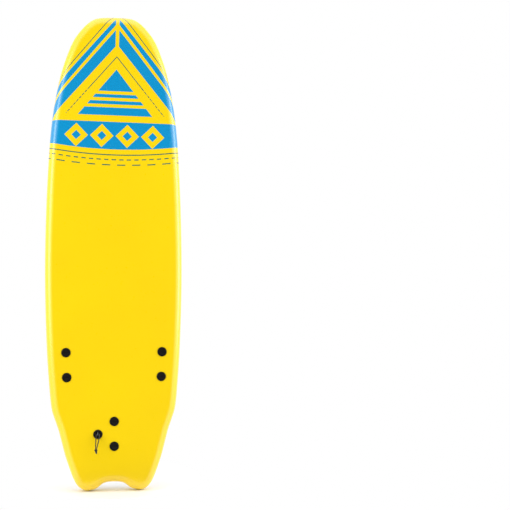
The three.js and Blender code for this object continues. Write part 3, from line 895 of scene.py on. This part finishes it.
def print_masks(g):
    """Masks of the blue fields and of the fine lines of the deck's print."""
    x, _, z = g.parts(g.attribute("print_place"))
    x, z = g.less(x, PRINT_MIDDLE[0]), g.less(z, PRINT_MIDDLE[1])
    sine, cosine = math.sin(PRINT_LEAN), math.cos(PRINT_LEAN)
    up = g.add(g.add(g.times(x, sine), g.times(z, cosine)), PRINT_MIDDLE[1])
    across = g.less(g.times(x, cosine), g.times(z, sine))
    side = g.size(across)

    def fallen(slope):
        return g.add(up, g.times(side, slope))

    def chevron(outer, inner):
        return g.both(g.below(fallen(outer[1]), outer[0]), g.above(fallen(inner[1]), inner[0]))

    arms = g.without(g.either(chevron(*MEDIUM_CHEVRON), chevron(*WIDE_CHEVRON)), g.below(side, SPLIT_HALF))
    stripes = g.either(*[g.near(up, height, STRIPE_HALF) for height in STRIPES])
    inside = g.both(g.below(fallen(TRIANGLE[1]), TRIANGLE[0]), g.above(up, TRIANGLE_BASE))
    smile = g.times(g.times(across, across), SMILE)
    level = g.less(up, smile)
    band = g.both(g.below(up, BAND[1]), g.above(level, BAND[0]))
    fields = g.either(arms, g.without(inside, stripes), g.without(band, lozenges(g, side, up)))

    falling = g.near(fallen(OUTER_LINE[1]), OUTER_LINE[0], LINE_HALF)
    turn = g.math("FRACT", g.times(up, 1 / DASH["pitch"]))
    solid = g.either(g.above(up, INNER_LINE_SOLID_TO), g.below(turn, DASH["share"], 0.04))
    slanted = g.near(fallen(INNER_LINE[1]), INNER_LINE[0], LINE_HALF)
    inner = g.both(slanted, g.above(up, INNER_LINE_FOOT), solid)
    lines = g.either(falling, inner, g.near(level, UNDERLINE["height"], UNDERLINE["half"]),
                     dashes(g, across, level, SHORT_DASHES), dashes(g, across, level, LONG_DASHES))
    return fields, lines


def lozenges(g, side, up):
    """Four plain lozenges in a row, each with a smaller one left open in it."""
    pitch, (half_wide, half_high) = MARKS["pitch"], MARKS["half"]
    off = g.size(g.less(g.size(g.less(side, pitch)), pitch / 2))
    rise = g.size(g.less(up, MARKS["height"]))
    spread = g.add(g.times(off, 1 / half_wide), g.times(rise, 1 / half_high))
    return g.both(g.below(spread, 1, 0.02), g.above(spread, MARKS["core"], 0.02))


def dashes(g, across, level, row):
    turn = g.math("FRACT", g.add(g.times(across, 1 / row["pitch"]), row["phase"]))
    along = g.times(g.size(g.less(turn, 0.5)), row["pitch"])
    return g.both(g.near(level, row["height"], row["half"]), g.below(along, row["length"] / 2))


def deck_finish():
    """Closed-cell foam sheet under a thin printed film: fine pebble grain, soft dents, faint scuffs."""
    g = Finish("deck_foam", coat_weight=0.75, coat_roughness=0.2, specular_ior_level=0.5)
    fields, lines = print_masks(g)
    shade = g.ranged(g.noise(3.5, 4), 0.3, 0.7, 0.0, 1.0)
    yellow = g.mixed(shade, YELLOW, linear(253, 214, 2))
    blue = g.mixed(shade, BLUE, linear(0, 146, 204))
    colour = g.mixed(lines, g.mixed(fields, yellow, blue), INK)
    scuffs = g.ranged(g.noise(60, 6, g.stretched((1.0, 1.0, 0.12)), 0.7), 0.62, 0.8, 0.0, 0.07)
    colour = g.mixed(scuffs, colour, linear(255, 232, 60))
    grain = g.bump(g.cells(620, "SMOOTH_F1"), 0.16, 0.0002)
    dents = g.bump(g.noise(9, 2), 0.25, 0.0015, grain)
    roughness = g.ranged(g.noise(140, 5), 0.3, 0.7, 0.27, 0.36)
    return g.done(colour, roughness, dents)


def slick_finish():
    """White polyethylene sheet: satin, with a faint orange peel and fine lengthwise rub marks."""
    g = Finish("slick_polyethylene", coat_weight=0.15, coat_roughness=0.2, subsurface_weight=0.0)
    tone = g.ranged(g.noise(2.4, 3), 0.3, 0.7, 0.0, 1.0)
    colour = g.mixed(tone, linear(238, 237, 238), linear(232, 232, 234))
    rubs = g.ranged(g.noise(90, 8, g.stretched((1.0, 1.0, 0.05)), 0.75), 0.64, 0.78, 0.0, 0.3)
    colour = g.mixed(g.times(rubs, 0.3), colour, linear(196, 198, 202))
    peel = g.bump(g.noise(260, 2), 0.12, 0.0003)
    return g.done(colour, g.ranged(rubs, 0, 0.3, 0.36, 0.5), peel)


def bead_finish():
    """Expanded bead foam: pale beads pressed against each other."""
    g = Finish("bead_foam")
    seams = g.ranged(g.cells(260, "DISTANCE_TO_EDGE"), 0.0, 0.12, 0.0, 1.0)
    colour = g.mixed(seams, linear(214, 214, 208), linear(246, 246, 242))
    return g.done(colour, g.ranged(g.noise(200), 0.3, 0.7, 0.8, 0.95), g.bump(seams, 0.5, 0.0006))


def plywood_finish():
    """A long plywood stringer: drawn-out grain with darker veins."""
    g = Finish("plywood")
    veins = g.noise(34, 6, g.stretched((6.0, 3.0, 0.12)), 0.65)
    colour = g.mixed(g.ranged(veins, 0.35, 0.68, 0, 1), linear(214, 176, 122), linear(168, 122, 74))
    return g.done(colour, g.ranged(veins, 0.3, 0.7, 0.6, 0.8), g.bump(veins, 0.3, 0.0005))


def fin_finish():
    """Glossy black moulded plastic with a trace of flow marks and hairline scratches."""
    g = Finish("fin_plastic", coat_weight=0.3, coat_roughness=0.06, specular_ior_level=0.3)
    flow = g.noise(14, 4, g.stretched((1.0, 1.0, 0.5)))
    hairs = g.ranged(g.noise(300, 6, g.stretched((0.1, 1.0, 1.0)), 0.8), 0.66, 0.8, 0.0, 1.0)
    colour = g.mixed(g.ranged(flow, 0.3, 0.7, 0, 1), linear(11, 13, 13), linear(19, 21, 21))
    colour = g.mixed(g.times(hairs, 0.25), colour, linear(92, 94, 94))
    return g.done(colour, g.ranged(hairs, 0, 1, 0.2, 0.4), g.bump(flow, 0.06, 0.0006))


def nylon_finish():
    """Black glass-filled nylon, spark-textured in the mould, a little rubbed."""
    g = Finish("black_nylon", specular_ior_level=0.3)
    grit = g.noise(900, 4)
    tone = g.ranged(g.noise(60, 4), 0.35, 0.7, 0, 1)
    colour = g.mixed(tone, linear(11, 8, 6), linear(19, 16, 13))
    return g.done(colour, g.ranged(grit, 0.3, 0.7, 0.38, 0.52), g.bump(grit, 0.18, 0.00012))


def rubber_finish():
    g = Finish("washer_rubber")
    dust = g.ranged(g.noise(420, 6), 0.5, 0.75, 0.0, 0.35)
    colour = g.mixed(dust, linear(26, 26, 27), linear(74, 73, 70))
    return g.done(colour, g.ranged(dust, 0, 0.35, 0.78, 0.92), g.bump(g.noise(700, 3), 0.3, 0.0001))


def steel_finish():
    """Drawn stainless steel, lines along the bar."""
    g = Finish("bar_steel", metallic=1.0)
    lines = g.noise(900, 4, g.stretched((1.0, 1.0, 0.03)))
    colour = g.mixed(g.ranged(lines, 0.3, 0.7, 0, 1), linear(186, 188, 192), linear(214, 216, 219))
    return g.done(colour, g.ranged(lines, 0.3, 0.7, 0.22, 0.38), g.bump(lines, 0.2, 0.00008))


def string_finish():
    """Black polyester braid: fine yarn over the ribs, a sheen where they catch the light."""
    g = Finish("braided_string", sheen_weight=0.35, sheen_roughness=0.4)
    yarn = g.noise(2600, 3, g.stretched((1.0, 1.0, 0.35)))
    colour = g.mixed(g.ranged(yarn, 0.35, 0.68, 0, 1), linear(14, 14, 15), linear(52, 50, 47))
    return g.done(colour, g.ranged(yarn, 0.3, 0.7, 0.68, 0.88), g.bump(yarn, 0.5, 0.00015))


def label_finish():
    """Dark matte vinyl with a fine paler speckle."""
    g = Finish("label_vinyl")
    speckle = g.noise(520, 5)
    colour = g.mixed(g.ranged(speckle, 0.4, 0.72, 0, 1), linear(50, 50, 52), linear(66, 66, 68))
    return g.done(colour, g.ranged(g.noise(40), 0.3, 0.7, 0.42, 0.6), g.bump(speckle, 0.15, 0.0001))


def floor_finish():
    g = Finish("studio_floor")
    tone = g.ranged(g.noise(0.8, 3), 0.3, 0.7, 0.0, 1.0)
    return g.done(g.mixed(tone, (0.84, 0.84, 0.84, 1), (0.86, 0.86, 0.86, 1)), 0.8)


# ---------------------------------------------------------------- camera, light and floor
def make_camera():
    """The camera stands a little to the left of the deck's normal and holds the board left of the middle."""
    focal = FRAME_PER_METRE * CAMERA_DISTANCE
    yaw = math.radians(CAMERA_YAW)
    aside = math.atan((BOARD_ACROSS - CAMERA_SHIFT) / focal)
    data = bpy.data.cameras.new("camera")
    data.sensor_width = SENSOR
    data.lens = SENSOR * focal
    data.shift_x = CAMERA_SHIFT
    camera = bpy.data.objects.new("camera", data)
    camera.location = (-CAMERA_DISTANCE * math.sin(yaw), -CAMERA_DISTANCE * math.cos(yaw), CAMERA_HEIGHT)
    camera.rotation_euler = (math.pi / 2, 0, -(yaw + aside))
    bpy.context.scene.collection.objects.link(camera)
    bpy.context.scene.camera = camera


def make_softbox(name, place, aim, size, watts):
    data = bpy.data.lights.new(name, "AREA")
    data.shape = "RECTANGLE"
    data.size, data.size_y = size
    data.energy = watts
    lamp = bpy.data.objects.new(name, data)
    lamp.location = place
    lamp.rotation_mode = "QUATERNION"
    lamp.rotation_quaternion = (Vector(aim) - Vector(place)).to_track_quat("-Z", "Y")
    bpy.context.scene.collection.objects.link(lamp)


def make_surround():
    """Bright white walls at the sides, a duller one behind the board and a dark end round the camera."""
    world = bpy.data.worlds.new("studio")
    world.use_nodes = True
    nodes, links = world.node_tree.nodes, world.node_tree.links

    def linked(kind, source, socket):
        node = nodes.new(kind)
        links.new(source, node.inputs[socket])
        return node

    def eased(value, start, end, first, last):
        node = linked("ShaderNodeMapRange", value, "Value")
        node.interpolation_type = "SMOOTHSTEP"
        for name, number in zip(("From Min", "From Max", "To Min", "To Max"), (start, end, first, last)):
            node.inputs[name].default_value = number
        return node.outputs["Result"]

    direction = nodes.new("ShaderNodeTexCoord").outputs["Generated"]
    forward = linked("ShaderNodeSeparateXYZ", direction, 0).outputs["Y"]
    sides = eased(forward, -0.93, -0.62, CAMERA_END, SIDE_WALLS)
    strength = linked("ShaderNodeMath", sides, 0)
    strength.operation = "MINIMUM"
    links.new(eased(forward, -0.4, 0.1, SIDE_WALLS, BACK_WALL), strength.inputs[1])
    lit = linked("ShaderNodeBackground", strength.outputs[0], "Strength").outputs[0]
    wall = nodes.new("ShaderNodeBackground")
    wall.inputs["Color"].default_value = (1, 1, 1, 1)
    wall.inputs["Strength"].default_value = SURROUND_SEEN
    lit.node.inputs["Color"].default_value = (1, 1, 1, 1)
    mix = linked("ShaderNodeMixShader", nodes.new("ShaderNodeLightPath").outputs["Is Camera Ray"], 0)
    links.new(lit, mix.inputs[1])
    links.new(wall.outputs[0], mix.inputs[2])
    links.new(mix.outputs[0], nodes["World Output"].inputs[0])
    bpy.context.scene.world = world
    bpy.context.scene.view_settings.view_transform = "Standard"


def make_studio():
    """A white surround, a pale round floor and soft boxes round the board."""
    make_surround()
    middle = (0, 0, LENGTH * MM / 2)
    make_softbox("softbox_left", (-2.3, -0.8, 1.4), middle, (1.0, 2.2), 24)
    make_softbox("softbox_right", (2.35, -0.25, 1.4), middle, (1.0, 2.2), 28)
    make_softbox("softbox_back", (0.6, 3.6, 2.8), middle, (3.0, 2.0), 12)
    make_softbox("softbox_above", (0, 0, 4.2), (0, 0, 0), (3.0, 3.0), 20)

    turns = [math.tau * i / FLOOR_SIDES for i in range(FLOOR_SIDES)]
    rim = [(FLOOR_RADIUS / MM * math.cos(a), (FLOOR_SHIFT + FLOOR_RADIUS * math.sin(a)) / MM, FLOOR_LEVEL)
           for a in turns]
    floor = make_piece("floor", rim, [tuple(range(FLOOR_SIDES))])
    floor.data.materials.append(floor_finish())


# ---------------------------------------------------------------- the assembly
def place(piece, finish, slot, body, *nodes):
    piece.data.materials.clear()
    piece.data.materials.append(finish)
    if nodes:
        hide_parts(*nodes)
    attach(piece, body)


def repaint(node, finish):
    """A CAD node whose shape is right keeps it, with a better material."""
    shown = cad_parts[node]
    if shown.material_slots:
        for socket in shown.material_slots:
            socket.material = finish
    else:
        shown.data.materials.append(finish)


def make_string():
    braid = string_finish()
    knot = make_knot()
    place(knot, braid, "cord", "board", "leash_string_knot")
    for name, side in (("left", -1), ("right", 1)):
        leg, path = make_leg(name, side)
        place(leg, braid, "cord", "board")


def make_board():
    place(make_deck(), deck_finish(), "deck_foam", "board", "deck_skin")
    place(make_bottom(), slick_finish(), "slick", "board", "bottom_skin")
    place(make_label(), label_finish(), "sticker", "board", "bottom_label")
    nylon = nylon_finish()
    cup, bar, base = make_plug()
    place(cup, nylon, "nylon", "board", "leash_plug_cup")
    place(base, nylon, "nylon", "board", "leash_plug_base")
    place(bar, steel_finish(), "steel", "board", "leash_plug_bar")
    moulded = fin_finish()
    for name in ("left", "right", "centre"):
        size = (CENTRE_ROOT, CENTRE_FLANGE_WIDTH) if name == "centre" else (SIDE_ROOT, SIDE_FLANGE_WIDTH)
        place(make_fin(name, *size), moulded, "fin", "fin_" + name, "fin_" + name)
    rubber = rubber_finish()
    for name in BOLTS:
        place(make_bolt(name), nylon, "nylon", "bolt_" + name, "fin_bolt_" + name)
        place(make_washer(name), rubber, "rubber", "washer_" + name, "bolt_washer_" + name)
        repaint("bolt_sleeve_" + name, nylon)
    beads, ply = bead_finish(), plywood_finish()
    for part in ("left", "centre", "right"):
        repaint("foam_core_" + part, beads)
    for part in ("left", "right"):
        repaint("stringer_" + part, ply)


make_camera()
make_string()
make_board()
make_studio()
